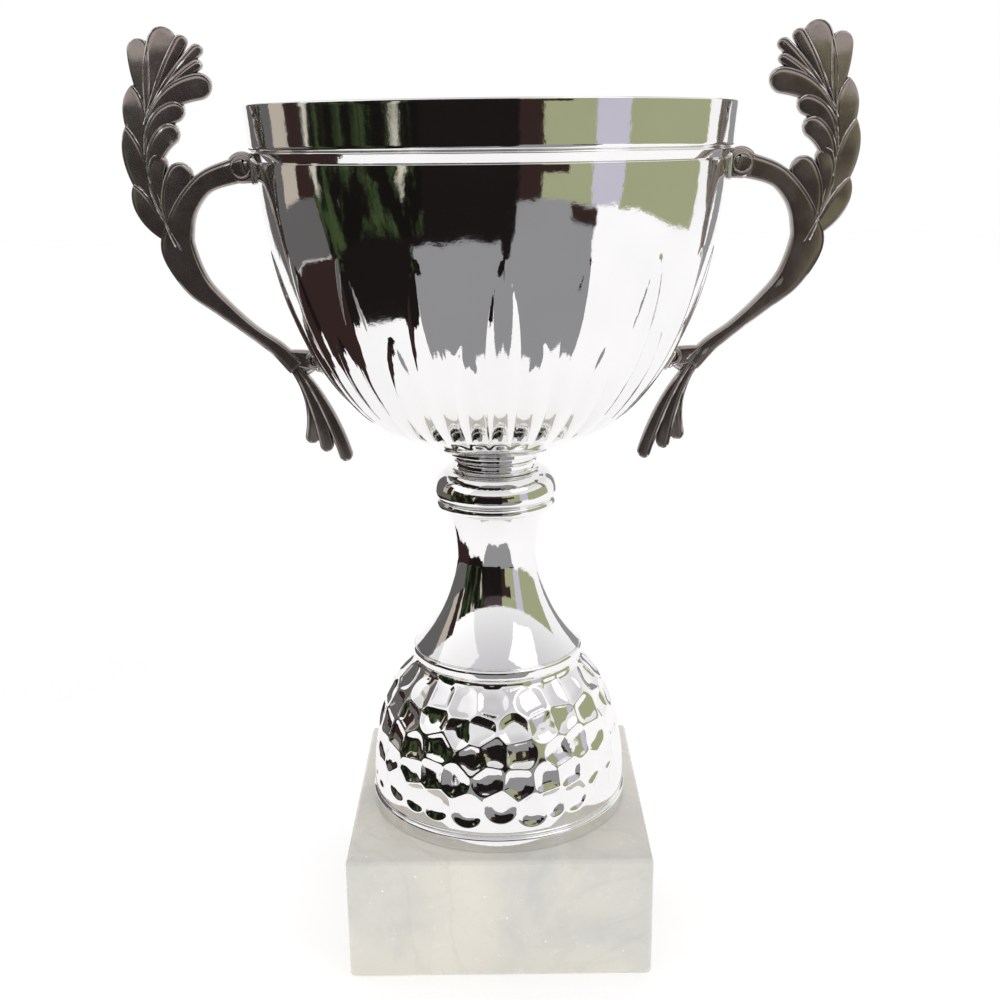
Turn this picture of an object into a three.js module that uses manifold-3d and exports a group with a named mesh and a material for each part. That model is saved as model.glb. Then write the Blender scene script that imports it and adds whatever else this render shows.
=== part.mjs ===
// Two-handled cup trophy on a marble block. Millimetres, +Z up, front towards -Y.
// The origin is the centre of the marble's underside. Every piece from the marble to the
// bowl is threaded on one centre rod and clamped between a nut under the marble and a nut
// inside the bowl. Each handle is a casting held by two screws from inside the bowl.
import * as THREE from "three";
import { mergeVertices } from "three/addons/utils/BufferGeometryUtils.js";
import Module from "manifold-3d";

const wasm = await Module();
wasm.setup();

// ---------- Driving dimensions ----------

const marbleWidth = 92;
const marbleHeight = 39.4;
const marbleArris = 1;
const counterboreRadius = 12;
const counterboreDepth = 10;

const footRadius = 41;
const footHeight = 49;
const footLipHeight = 5;
const footTopRadius = 26.5;
const footWall = 2.2;

const bellHeight = 48;
const bellLipRadius = 27;
const bellWaistRadius = 12.6;
const bellTopRadius = 15.8;
const bellWall = 2.2;

const knobHeight = 12.3;
const knobRadius = 19;
const knobCreaseRadius = 18.5;

const neckHeight = 3.7;
const neckRadius = 12.3;
const neckFlangeRadius = 13.6;
const neckTopRadius = 13;

const collarHeight = 1.5;
const collarRadius = 12.6;

const bowlRadius = 67.2;
const bowlBodyHeight = 86.3;
const bowlHubRadius = 14.5;
const bowlHubHeight = 1.4;
const bowlFloor = 2.6;
const bowlWall = 1.5;
const bowlSquareness = 2.6;
const bowlFullness = 1.73;
const beadHeight = 3.8;
const beadProud = 1.1;
const rimHeight = 11.8;
const rimProud = 1.9;
const rimFlare = 0.9;

const rodRadius = 3;
const rodProud = 3;
const nutAcrossFlats = 10;
const nutHeight = 5;
const baseWasherRadius = 9;
const bowlWasherRadius = 11;
const washerThickness = 1.6;

const screwRadius = 1.5;
const screwHeadRadius = 2.8;
const screwHeadHeight = 1.9;
const screwBite = 6;
const screwWasherRadius = 3.4;
const screwWasherThickness = 0.6;
const upperScrewDrop = 2.2;
const lowerScrewHeight = 28.7;

const handleThickness = 5;
const leafThickness = 4.4;
const earRadius = 4.6;
const lowerEarRadius = 3.3;
const earRingShare = 0.62;
const earRingBand = 0.7;
const earRingProud = 0.4;
const upperPadHeight = 7.6;
const lowerPadHeight = 6.4;
const padWidth = 10;
const padThickness = 1.8;

// Clearances
const rodClearance = 0.4;
const threadClearance = 0.15;
const screwClearance = 0.25;
const seatGap = 0.3;

// Edges shorter than this, left where outlines cross in the castings, are merged away
const sliver = 0.02;

// Facets
const turnedSegments = 40;
const smallSegments = 16;
const leafSteps = 5;
const tipSteps = 4;

// ---------- Heights worked out from the stack ----------

const footZ = marbleHeight;
const bellZ = footZ + footHeight;
const knobZ = bellZ + bellHeight;
const neckZ = knobZ + knobHeight;
const collarZ = neckZ + neckHeight;
const bowlZ = collarZ + collarHeight;
const rodHoleRadius = rodRadius + rodClearance;

// ---------- Finishes ----------

function finish(color, roughness, metalness) {
  return new THREE.MeshStandardMaterial({ color, roughness, metalness });
}

const chromeFinish = finish(0xe4e2e0, 0.06, 1);
const handleFinish = finish(0x6f6862, 0.14, 1);
const steelFinish = finish(0xa9abad, 0.32, 1);
const marbleFinish = finish(0xcfc9bc, 0.22, 0);

// ---------- Shape helpers ----------

// A turned piece about Z. The profile is a closed loop of [radius, height] points that runs
// up the outside and down the inside.
function turned(profile, segments = turnedSegments) {
  const loop = [...profile, profile[0]];
  const points = loop.map(([radius, height]) => new THREE.Vector2(radius, height));
  return new THREE.LatheGeometry(points, segments).rotateX(Math.PI / 2);
}

function toSolid(geometry) {
  const bare = geometry.clone();
  bare.deleteAttribute("normal");
  bare.deleteAttribute("uv");
  const merged = mergeVertices(bare, 1e-4);
  const triVerts = new Uint32Array(merged.index.array);
  const vertProperties = new Float32Array(merged.attributes.position.array);
  return new wasm.Manifold(new wasm.Mesh({ numProp: 3, vertProperties, triVerts }));
}

function toGeometry(solid) {
  const { vertProperties, triVerts } = solid.getMesh();
  const geometry = new THREE.BufferGeometry();
  geometry.setAttribute("position", new THREE.BufferAttribute(vertProperties, 3));
  geometry.setIndex(new THREE.BufferAttribute(triVerts, 1));
  geometry.computeVertexNormals();
  return geometry;
}

// A cylinder along Z from one height to another.
function post(radius, fromZ, toZ, segments = smallSegments) {
  const height = toZ - fromZ;
  const geometry = new THREE.CylinderGeometry(radius, radius, height, segments);
  return geometry.rotateX(Math.PI / 2).translate(0, 0, fromZ + height / 2);
}

// Points on a quadratic curve between two [radius, height] ends, without the last one.
function bend(from, control, to, steps) {
  const curve = new THREE.QuadraticBezierCurve(
    new THREE.Vector2(...from),
    new THREE.Vector2(...control),
    new THREE.Vector2(...to),
  );
  return curve.getPoints(steps).slice(0, -1).map((point) => [point.x, point.y]);
}

// A flat outline in the XZ plane, extruded evenly to both sides of Y = 0.
function plate(points, thickness) {
  const shape = new THREE.Shape(points.map(([x, z]) => new THREE.Vector2(x, z)));
  const geometry = new THREE.ExtrudeGeometry(shape, { depth: thickness, bevelEnabled: false });
  return geometry.translate(0, 0, -thickness / 2).rotateX(Math.PI / 2);
}

function circle([x, z], radius, segments = smallSegments) {
  return Array.from({ length: segments }, (_, i) => {
    const angle = (2 * Math.PI * i) / segments;
    return [x + radius * Math.cos(angle), z + radius * Math.sin(angle)];
  });
}

// ---------- Marble block ----------

function marbleGeometry() {
  const half = marbleWidth / 2 - marbleArris;
  const corners = [[-half, -half], [half, -half], [half, half], [-half, half]];
  const square = new THREE.Shape(corners.map(([x, y]) => new THREE.Vector2(x, y)));
  const block = new THREE.ExtrudeGeometry(square, {
    depth: marbleHeight - 2 * marbleArris,
    bevelSize: marbleArris,
    bevelThickness: marbleArris,
    bevelSegments: 1,
  }).translate(0, 0, marbleArris);
  const below = -1;
  const rodHole = post(rodHoleRadius, below, marbleHeight + 1);
  const counterbore = post(counterboreRadius, below, counterboreDepth);
  return toGeometry(toSolid(block).subtract(toSolid(rodHole)).subtract(toSolid(counterbore)));
}

// ---------- Turned pieces of the stem, each drawn from its own underside ----------

// Domed foot: an upright lip, a quarter-round dome and a flat top, hollow from below.
function footGeometry() {
  const shoulder = footRadius - 0.5;
  const lipRounding = 0.8;
  const brow = footHeight - 2;
  const domeSteps = 9;
  const innerSteps = 5;
  const domeControl = [footRadius - 0.2, footHeight - 13];
  const outer = bend([shoulder, footLipHeight], domeControl, [footTopRadius, brow], domeSteps);
  const inner = bend(
    [footTopRadius - footWall, brow - footWall],
    [domeControl[0] - footWall, domeControl[1] - footWall],
    [shoulder - footWall, footLipHeight],
    innerSteps,
  );
  return turned([
    [footRadius, 0],
    [footRadius, footLipHeight - lipRounding],
    ...outer,
    [footTopRadius, footHeight],
    [rodHoleRadius, footHeight],
    [rodHoleRadius, footHeight - footWall],
    ...inner,
    [shoulder - footWall, 0],
  ]);
}

// Bell-shaped stem: a rolled lip, a flare up to a narrow waist and a small cap flange.
function bellGeometry() {
  const lipHeight = 4;
  const waistZ = 32;
  const flareSteps = 8;
  const capSteps = 4;
  const neckTop = [bellTopRadius, bellHeight];
  const flareControl = [bellWaistRadius + 2.4, lipHeight + 10.8];
  const outer = [
    ...bend([bellLipRadius - 0.4, lipHeight], flareControl, [bellWaistRadius, waistZ], flareSteps),
    ...bend([bellWaistRadius, waistZ], [bellWaistRadius, bellHeight - 6], neckTop, capSteps),
  ];
  const inner = bend(
    [bellWaistRadius - bellWall, waistZ],
    [flareControl[0] - bellWall, flareControl[1] - bellWall],
    [bellLipRadius - bellWall - 1, lipHeight - 1],
    flareSteps - 3,
  );
  return turned([
    [bellLipRadius - 0.8, 0],
    [bellLipRadius, 1],
    [bellLipRadius, lipHeight - 1.4],
    ...outer,
    neckTop,
    [rodHoleRadius, bellHeight],
    [rodHoleRadius, bellHeight - bellWall],
    [bellWaistRadius - bellWall, bellHeight - bellWall],
    ...inner,
    [bellLipRadius - bellWall - 1, 0],
  ]);
}

// Knob: a small lower bead, a crease, then one fat bulge under the neck.
function knobGeometry() {
  const beadSteps = 3;
  const bulgeSteps = 6;
  const creaseTop = [knobCreaseRadius, 4];
  const creaseBottom = [knobCreaseRadius, 3.7];
  const bulgeControl = [knobRadius + 1.2, knobHeight - 0.2];
  const seat = [neckFlangeRadius, knobHeight];
  return turned([
    ...bend([bellTopRadius, 0], [knobCreaseRadius + 0.4, 1.4], creaseBottom, beadSteps),
    creaseBottom,
    ...bend(creaseTop, bulgeControl, seat, bulgeSteps),
    seat,
    [rodHoleRadius, knobHeight],
    [rodHoleRadius, 0],
  ]);
}

// Neck ring: a thin flange that rests on the knob, a hollowed waist and a flared top.
function neckGeometry() {
  const flangeThickness = 1.2;
  const edge = 0.4;
  const waistSteps = 5;
  const waistFoot = [neckFlangeRadius - edge, flangeThickness];
  const waistControl = [2 * neckRadius - neckTopRadius, neckHeight / 2];
  const waistTop = [neckTopRadius, neckHeight - edge];
  return turned([
    [neckFlangeRadius - edge, 0],
    [neckFlangeRadius, flangeThickness / 2],
    ...bend(waistFoot, waistControl, waistTop, waistSteps),
    waistTop,
    [neckTopRadius - edge, neckHeight],
    [rodHoleRadius, neckHeight],
    [rodHoleRadius, 0],
  ]);
}

// Collar: the thin rounded disc that the bowl's hub sits on.
function collarGeometry() {
  const edgeSteps = 4;
  const edge = (height) => [collarRadius - 0.5, height];
  return turned([
    ...bend(edge(0), [collarRadius + 0.5, collarHeight / 2], edge(collarHeight), edgeSteps),
    edge(collarHeight),
    [rodHoleRadius, collarHeight],
    [rodHoleRadius, 0],
  ]);
}

// ---------- Bowl ----------

// The bowl's body follows (r / R)^squareness + (1 - h)^fullness = 1, where h runs from 0 at
// the pole to 1 at the bead. A short hub cuts the pole off where the radius is the hub's.
function bodyShare(radiusShare) {
  return 1 - (1 - radiusShare ** bowlSquareness) ** (1 / bowlFullness);
}

const hubShare = bodyShare(bowlHubRadius / bowlRadius);

// Outer radius of the bowl's body at a height above its seat on the collar.
function bowlOuterRadius(height) {
  const rise = (height - bowlHubHeight) / (bowlBodyHeight - bowlHubHeight);
  const share = hubShare + (1 - hubShare) * rise;
  return bowlRadius * (1 - (1 - share) ** bowlFullness) ** (1 / bowlSquareness);
}

// Slope of the wall at a height: how much the radius grows for each millimetre upwards.
function bowlSlope(height) {
  const probe = 0.05;
  const above = Math.min(height + probe, bowlBodyHeight);
  const below = Math.max(height - probe, bowlHubHeight);
  return (bowlOuterRadius(above) - bowlOuterRadius(below)) / (above - below);
}

// Profile of the body above its hub, moved outwards square to the wall by the given amount.
// It is denser near the hub, where it curves most.
function bodyProfile(offset, steps) {
  const crowding = 1.7;
  return Array.from({ length: steps + 1 }, (_, i) => {
    const height = bowlHubHeight + (bowlBodyHeight - bowlHubHeight) * (i / steps) ** crowding;
    const slope = bowlSlope(height);
    const shift = offset / Math.hypot(1, slope);
    return [bowlOuterRadius(height) + shift, height - shift * slope];
  });
}

// Bead and rim band above the body, moved out by the given amount.
function rimProfile(offset) {
  const bodyTop = bowlBodyHeight;
  const beadTop = bodyTop + beadHeight;
  const beadRadius = bowlRadius + beadProud;
  const rimRadius = bowlRadius + rimProud;
  return [
    [bowlRadius + offset, bodyTop + 0.3],
    [beadRadius + offset - 0.4, bodyTop + 0.8],
    [beadRadius + offset, bodyTop + beadHeight / 2],
    [beadRadius + offset - 0.3, beadTop - 0.4],
    [rimRadius + offset, beadTop],
    [rimRadius + rimFlare + offset, beadTop + rimHeight],
  ];
}

function bowlGeometry(screwHoles) {
  const outerSteps = 15;
  const innerSteps = 11;
  const top = bowlBodyHeight + beadHeight + rimHeight;
  const rimOuter = bowlRadius + rimProud + rimFlare;
  const inside = bodyProfile(-bowlWall, innerSteps).reverse();
  const shell = turned([
    [bowlHubRadius, 0],
    ...bodyProfile(0, outerSteps),
    ...rimProfile(0),
    [rimOuter - bowlWall, top],
    [rimOuter - rimFlare - bowlWall, bowlBodyHeight + beadHeight],
    ...inside,
    [bowlHubRadius - bowlWall, bowlFloor],
    [rodHoleRadius, bowlFloor],
    [rodHoleRadius, 0],
  ]);
  return toGeometry(screwHoles.reduce((solid, hole) => solid.subtract(hole), toSolid(shell)));
}

// Solid plug of the bowl's outside with a gap all round, which the handles are cut back to.
function bowlEnvelope() {
  const outerSteps = 15;
  const top = bowlBodyHeight + beadHeight + rimHeight;
  const plug = turned([
    [bowlHubRadius + seatGap, 0],
    ...bodyProfile(seatGap, outerSteps),
    ...rimProfile(seatGap),
    [rodHoleRadius, top],
    [rodHoleRadius, 0],
  ]);
  return toSolid(plug.translate(0, 0, bowlZ));
}

// ---------- Screw places on the bowl's right-hand side ----------

// Where a screw crosses the bowl's outside, and the slope of the wall there: the normal
// points outwards at `tilt` radians above the horizontal.
function screwPlace(heightAboveSeat) {
  return {
    x: bowlOuterRadius(heightAboveSeat),
    z: bowlZ + heightAboveSeat,
    tilt: -Math.atan(bowlSlope(heightAboveSeat)),
  };
}

const upperPlace = screwPlace(bowlBodyHeight - upperScrewDrop);
const lowerPlace = screwPlace(lowerScrewHeight);

// A group whose +X axis points straight out of the bowl at a screw.
function screwFrame(place) {
  const frame = new THREE.Group();
  frame.position.set(place.x, 0, place.z);
  frame.rotation.y = -place.tilt;
  frame.updateMatrixWorld(true);
  return frame;
}

// A rod along the screw's axis, from one distance outside the wall's face to another.
function alongScrew(place, radius, from, to) {
  const geometry = post(radius, from, to).rotateY(Math.PI / 2);
  return toSolid(geometry.applyMatrix4(screwFrame(place).matrixWorld));
}

// ---------- Handle ----------

// The casting is drawn in its own frame: the origin is the upper screw's place, X runs away
// from the bowl and Z up. Each leaf is a spine of three points and a half-width.
const leaves = [
  // Crown of the handle: one broad leaf, the outer leaf beside it and the inner fan
  { base: [33, 14], control: [29, 27], tip: [23.7, 39.4], halfWidth: 4.1 },
  { base: [33, 14], control: [34, 25], tip: [31.9, 35.2], halfWidth: 3 },
  { base: [33, 14], control: [26, 26], tip: [19.3, 36.4], halfWidth: 2 },
  { base: [33, 14], control: [25, 24], tip: [14.6, 33.4], halfWidth: 1.8 },
  { base: [33, 14], control: [25, 24], tip: [14.7, 29], halfWidth: 1.5 },
  { base: [33, 14], control: [24, 23], tip: [12.1, 23.1], halfWidth: 3.8 },
  // Leaves down the outer edge, and the rib they grow from
  { base: [34, 2], control: [36.6, 13], tip: [35.4, 22.4], halfWidth: 2.9 },
  { base: [30.7, -17], control: [37.2, -3], tip: [38.2, 11.6], halfWidth: 2.9 },
  { base: [27.5, -23], control: [34.5, -15], tip: [37.5, -4.6], halfWidth: 2.6 },
  { base: [28, -22], control: [35.5, -3], tip: [32, 18], halfWidth: 2.8 },
  // Leaves down the inner edge
  { base: [34.5, 4], control: [31, 15.5], tip: [20.3, 16.3], halfWidth: 3.1 },
  { base: [34.5, -4], control: [31.5, 7], tip: [22.4, 10.6], halfWidth: 3.1 },
  { base: [29.5, -20], control: [31.5, -6], tip: [27.9, 3.7], halfWidth: 2.5 },
  { base: [26, -28], control: [28, -10], tip: [21.4, 1.4], halfWidth: 3.9 },
  // Arm from the stem to the lower ear
  { base: [-2, -52.5], control: [-7, -55], tip: [-14, -55.4], halfWidth: 2.8 },
  // Three leaves of the tail
  { base: [-7, -56], control: [-16.7, -68], tip: [-21.8, -86.5], halfWidth: 2.1 },
  { base: [-6, -57], control: [-13.6, -67.5], tip: [-15.8, -83.5], halfWidth: 2.1 },
  { base: [-5.6, -57], control: [-14.6, -68], tip: [-10.7, -80.8], halfWidth: 2.2 },
];

// The stem that carries the leaves, from the upper ear to the root of the tail.
const stemStations = [
  { at: [4, 0.9], halfWidth: 3.8 },
  { at: [13.2, -1.7], halfWidth: 3.4 },
  { at: [17.8, -4.6], halfWidth: 3.2 },
  { at: [22, -10], halfWidth: 3.5 },
  { at: [24.3, -16], halfWidth: 4.2 },
  { at: [25, -22.5], halfWidth: 5 },
  { at: [20.4, -32.2], halfWidth: 3.9 },
  { at: [13.4, -39.1], halfWidth: 2.6 },
  { at: [5, -46.3], halfWidth: 1.9 },
  { at: [-2, -51.6], halfWidth: 2.2 },
  { at: [-7.6, -57.4], halfWidth: 2.6 },
];

// Ears are round bosses at both ends. The lower screw's place in the same frame sets how
// the casting is turned and scaled to span the two screws.
const upperEar = [4.9, 1];
const lowerEar = [-13.5, -55];
const castScrewSpan = [-15.6, -55.4];

// Outline of a leaf: its width grows along the spine and ends in a round tip.
function leafOutline({ base, control, tip, halfWidth }) {
  const spine = new THREE.QuadraticBezierCurve(
    new THREE.Vector2(...base),
    new THREE.Vector2(...control),
    new THREE.Vector2(...tip),
  );
  const roundStart = 1 - halfWidth / spine.getLength();
  const side = (share, width, sign) => {
    const point = spine.getPointAt(share);
    const along = spine.getTangentAt(share);
    return [point.x - sign * width * along.y, point.y + sign * width * along.x];
  };
  const stations = [];
  for (let i = 0; i < leafSteps; i += 1) {
    const share = i / leafSteps;
    const rootShare = 0.25;
    const width = halfWidth * (rootShare + (1 - rootShare) * Math.sin((share * Math.PI) / 2));
    stations.push([share * roundStart, width]);
  }
  for (let i = 0; i < tipSteps; i += 1) {
    const angle = (i / tipSteps) * (Math.PI / 2);
    stations.push([roundStart + (1 - roundStart) * Math.sin(angle), halfWidth * Math.cos(angle)]);
  }
  const left = stations.map(([share, width]) => side(share, width, 1));
  const right = stations.map(([share, width]) => side(share, width, -1)).reverse();
  return [...right, ...left, tip].map(([x, z]) => [x, z]);
}

// Outline of the stem: offsets to both sides of a smooth curve through its stations.
function stemOutline() {
  const steps = 22;
  const curve = new THREE.SplineCurve(stemStations.map(({ at }) => new THREE.Vector2(...at)));
  const halfWidths = new THREE.SplineCurve(
    stemStations.map(({ halfWidth }, i) => new THREE.Vector2(i, halfWidth)),
  );
  const left = [];
  const right = [];
  for (let i = 0; i <= steps; i += 1) {
    const share = i / steps;
    const point = curve.getPoint(share);
    const along = curve.getTangent(share);
    const width = halfWidths.getPoint(share).y;
    left.push([point.x - width * along.y, point.y + width * along.x]);
    right.push([point.x + width * along.y, point.y - width * along.x]);
  }
  return [...right, ...left.reverse()];
}

// Turns, scales and moves the casting's own frame so that its two ears meet the two screws.
function castingMatrix() {
  const spanX = lowerPlace.x - upperPlace.x;
  const spanZ = lowerPlace.z - upperPlace.z;
  const turn = Math.atan2(spanZ, spanX) - Math.atan2(castScrewSpan[1], castScrewSpan[0]);
  const scale = Math.hypot(spanX, spanZ) / Math.hypot(...castScrewSpan);
  const place = new THREE.Matrix4().makeTranslation(upperPlace.x, 0, upperPlace.z);
  place.multiply(new THREE.Matrix4().makeRotationY(-turn));
  return place.multiply(new THREE.Matrix4().makeScale(scale, 1, scale));
}

// Mounting pad that spreads each ear over the bowl's wall. It starts inside the wall, and is
// cut back to the wall's gap with the rest of the casting.
function pad(place, height) {
  const inside = bowlWall;
  const box = new THREE.BoxGeometry(padThickness + inside, padWidth, height);
  box.translate((padThickness - inside) / 2, 0, 0);
  return toSolid(box.applyMatrix4(screwFrame(place).matrixWorld));
}

// Bridge from the pad to the ear, so that the ear is always joined to its pad.
function bridge(place, length, halfHeight) {
  const box = new THREE.BoxGeometry(length, handleThickness, 2 * halfHeight);
  box.translate(length / 2, 0, 0);
  return toSolid(box.applyMatrix4(screwFrame(place).matrixWorld));
}

function handleGeometry() {
  const bridgeShare = 0.72;
  const matrix = castingMatrix();
  const cast = (outline, thickness) => toSolid(plate(outline, thickness).applyMatrix4(matrix));
  const ringThickness = handleThickness + 2 * earRingProud;
  const ring = (centre, radius) => cast(circle(centre, radius), ringThickness)
    .subtract(cast(circle(centre, radius - earRingBand), ringThickness + 1));
  const pieces = [
    ...leaves.map((leaf) => cast(leafOutline(leaf), leafThickness)),
    cast(circle(upperEar, earRadius), handleThickness),
    cast(circle(lowerEar, lowerEarRadius), handleThickness),
    ring(upperEar, earRadius * earRingShare),
    ring(lowerEar, lowerEarRadius * earRingShare),
    pad(upperPlace, upperPadHeight),
    pad(lowerPlace, lowerPadHeight),
    bridge(upperPlace, earRadius, earRadius * bridgeShare),
    bridge(lowerPlace, lowerEarRadius, lowerEarRadius * bridgeShare),
  ];
  const stem = cast(stemOutline(), handleThickness);
  const joined = pieces.reduce((solid, piece) => solid.add(piece), stem);
  const upperHole = alongScrew(upperPlace, screwRadius + threadClearance, -1, screwBite + 1);
  const lowerHole = alongScrew(lowerPlace, screwRadius + threadClearance, -1, screwBite + 1);
  const cut = joined.subtract(bowlEnvelope()).subtract(upperHole).subtract(lowerHole);
  return toGeometry(cut.simplify(sliver));
}

// ---------- Fasteners ----------

function washerGeometry(radius, holeRadius, thickness) {
  const section = [[radius, 0], [radius, thickness], [holeRadius, thickness], [holeRadius, 0]];
  return turned(section, smallSegments);
}

function nutGeometry() {
  const cornerRadius = nutAcrossFlats / 2 / Math.cos(Math.PI / 6);
  const loop = (radius, segments) =>
    circle([0, 0], radius, segments).map(([x, y]) => new THREE.Vector2(x, y));
  const hexagon = new THREE.Shape(loop(cornerRadius, 6));
  hexagon.holes.push(new THREE.Path(loop(rodRadius + threadClearance, smallSegments)));
  return new THREE.ExtrudeGeometry(hexagon, { depth: nutHeight, bevelEnabled: false });
}

// Pan-head screw along +Z: the head's seat is at z = 0 and the shank runs upwards.
function screwGeometry(length) {
  const rounding = 0.7;
  return turned([
    [0, -screwHeadHeight],
    [screwHeadRadius - rounding, -screwHeadHeight],
    [screwHeadRadius, -screwHeadHeight + rounding],
    [screwHeadRadius, 0],
    [screwRadius, 0],
    [screwRadius, length - rounding],
    [screwRadius - rounding, length],
    [0, length],
  ], smallSegments);
}

// ---------- Assembly ----------

const trophy = new THREE.Group();

function add(name, geometry, material, z = 0, parent = trophy) {
  const mesh = new THREE.Mesh(geometry, material);
  mesh.name = name;
  mesh.position.z = z;
  parent.add(mesh);
  return mesh;
}

add("marble_base", marbleGeometry(), marbleFinish);
add("foot_dome", footGeometry(), chromeFinish, footZ);
add("bell_stem", bellGeometry(), chromeFinish, bellZ);
add("stem_knob", knobGeometry(), chromeFinish, knobZ);
add("neck_ring", neckGeometry(), chromeFinish, neckZ);
add("bowl_collar", collarGeometry(), chromeFinish, collarZ);

// Screw holes go right through the wall at each of the four screws.
const halfTurn = new THREE.Matrix4().makeRotationZ(Math.PI);
const toBowlFrame = new THREE.Matrix4().makeTranslation(0, 0, -bowlZ);
const screwHoles = [upperPlace, lowerPlace].flatMap((place) => {
  const reach = 3 * bowlWall;
  const hole = post(screwRadius + screwClearance, -reach, reach).rotateY(Math.PI / 2);
  hole.applyMatrix4(screwFrame(place).matrixWorld);
  const opposite = hole.clone().applyMatrix4(halfTurn);
  return [hole, opposite].map((geometry) => toSolid(geometry.applyMatrix4(toBowlFrame)));
});
add("bowl", bowlGeometry(screwHoles), chromeFinish, bowlZ);

// Centre rod with a washer and nut at each end
const baseWasherZ = counterboreDepth - washerThickness;
const baseNutZ = baseWasherZ - nutHeight;
const bowlWasherZ = bowlZ + bowlFloor;
const bowlNutZ = bowlWasherZ + washerThickness;
const rodEndZ = baseNutZ - rodProud / 2;
const rodTopZ = bowlNutZ + nutHeight + rodProud;
add("centre_rod", post(rodRadius, rodEndZ, rodTopZ), steelFinish);
const baseWasher = washerGeometry(baseWasherRadius, rodHoleRadius, washerThickness);
const bowlWasher = washerGeometry(bowlWasherRadius, rodHoleRadius, washerThickness);
add("base_washer", baseWasher, steelFinish, baseWasherZ);
add("base_nut", nutGeometry(), steelFinish, baseNutZ);
add("bowl_washer", bowlWasher, steelFinish, bowlWasherZ);
add("bowl_nut", nutGeometry(), steelFinish, bowlNutZ);

// Each side carries a handle, two screws and two washers. The left side is the right side
// turned half a turn about the trophy's axis.
const handle = handleGeometry();
// A washer is flat and the wall inside the bowl is hollow, so it seats on its own edge.
const washerRise = screwWasherRadius * Math.tan(Math.PI / turnedSegments);
const screwSeat = -bowlWall - seatGap - washerRise - screwWasherThickness;
const screw = screwGeometry(screwBite - screwSeat);
const screwHoleRadius = screwRadius + screwClearance;
const screwWasher = washerGeometry(screwWasherRadius, screwHoleRadius, screwWasherThickness);
for (const [side, turn] of [["right", 0], ["left", Math.PI]]) {
  const half = new THREE.Group();
  half.rotation.z = turn;
  trophy.add(half);
  add(`${side}_handle`, handle, handleFinish, 0, half);
  for (const [level, place] of [["upper", upperPlace], ["lower", lowerPlace]]) {
    const frame = screwFrame(place);
    half.add(frame);
    const axis = new THREE.Group();
    axis.rotation.y = Math.PI / 2;
    axis.position.x = screwSeat;
    frame.add(axis);
    add(`${side}_${level}_screw`, screw, steelFinish, 0, axis);
    add(`${side}_${level}_washer`, screwWasher, steelFinish, 0, axis);
  }
}

export default trophy;
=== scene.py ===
# Two-handled cup trophy: the detailed look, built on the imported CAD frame.
# Metres, +Z up, front towards -Y. mm turns millimetres into metres.
import bpy
import math
import numpy as np
from mathutils import Matrix, Vector


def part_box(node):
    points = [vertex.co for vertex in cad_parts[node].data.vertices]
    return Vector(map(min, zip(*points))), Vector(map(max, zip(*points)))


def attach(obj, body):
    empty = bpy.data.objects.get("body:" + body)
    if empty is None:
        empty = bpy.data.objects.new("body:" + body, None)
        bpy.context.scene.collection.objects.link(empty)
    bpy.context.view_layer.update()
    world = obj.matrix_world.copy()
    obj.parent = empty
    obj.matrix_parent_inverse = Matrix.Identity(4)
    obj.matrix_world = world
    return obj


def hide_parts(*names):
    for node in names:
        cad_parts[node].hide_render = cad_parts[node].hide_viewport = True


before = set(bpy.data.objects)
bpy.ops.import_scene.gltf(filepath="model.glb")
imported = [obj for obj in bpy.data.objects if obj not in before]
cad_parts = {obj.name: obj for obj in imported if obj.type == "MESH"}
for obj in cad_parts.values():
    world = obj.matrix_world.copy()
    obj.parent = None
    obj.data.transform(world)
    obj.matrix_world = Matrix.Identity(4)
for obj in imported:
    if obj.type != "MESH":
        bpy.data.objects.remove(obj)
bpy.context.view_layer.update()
mm = 0.001
tau = 2 * math.pi


# ---------- Sizes, read from the frame where it has them ----------

def low(node):
    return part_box(node)[0]


def high(node):
    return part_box(node)[1]


def height_of(node):
    return high(node).z - low(node).z


foot_radius = high("foot_dome").y
foot_height = height_of("foot_dome")
bell_lip = high("bell_stem").y
bell_height = height_of("bell_stem")
knob_height = height_of("stem_knob")
neck_height = height_of("neck_ring")
flange = high("neck_ring").y
collar_height = height_of("bowl_collar")
collar_radius = high("bowl_collar").y
bowl_z = low("bowl").z
bowl_top = height_of("bowl")
rim_outer = high("bowl").y

# The sizes below aren't in the frame, and repeat those of the CAD source.
rod_hole = 3.4 * mm
bowl_radius = 67.2 * mm
bowl_body = 86.3 * mm
bowl_hub = 14.5 * mm
bowl_hub_height = 1.4 * mm
bowl_squareness = 2.6
bowl_fullness = 1.73
bowl_floor = 2.6 * mm
bowl_wall = 1.5 * mm
bead_top = bowl_body + 3.8 * mm
bead_radius = bowl_radius + 1.1 * mm
rim_foot = bowl_radius + 1.9 * mm
wall_gap = 0.3 * mm
upper_screw_height = bowl_body - 2.2 * mm
lower_screw_height = 28.7 * mm


# ---------- Mesh helpers ----------

def make_object(name, points, faces):
    mesh = bpy.data.meshes.new(name)
    mesh.from_pydata([tuple(p) for p in points], [], [tuple(f) for f in faces])
    mesh.update()
    obj = bpy.data.objects.new(name, mesh)
    bpy.context.scene.collection.objects.link(obj)
    return obj


# Quads of a grid of rows and columns; either direction may close on itself.
def grid_faces(rows, columns, close_rows, close_columns):
    row_count = rows if close_rows else rows - 1
    column_count = columns if close_columns else columns - 1
    i, j = np.meshgrid(np.arange(row_count), np.arange(column_count), indexing="ij")
    i, j = i.ravel(), j.ravel()
    i2, j2 = (i + 1) % rows, (j + 1) % columns
    return np.stack([i * columns + j, i * columns + j2, i2 * columns + j2, i2 * columns + j], 1)


# The faces of a tube of rows, with a flat cap at each end.
def tube_faces(rows, columns):
    caps = [tuple(range(columns))[::-1], tuple(range((rows - 1) * columns, rows * columns))]
    return list(grid_faces(rows, columns, False, True)) + caps


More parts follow.
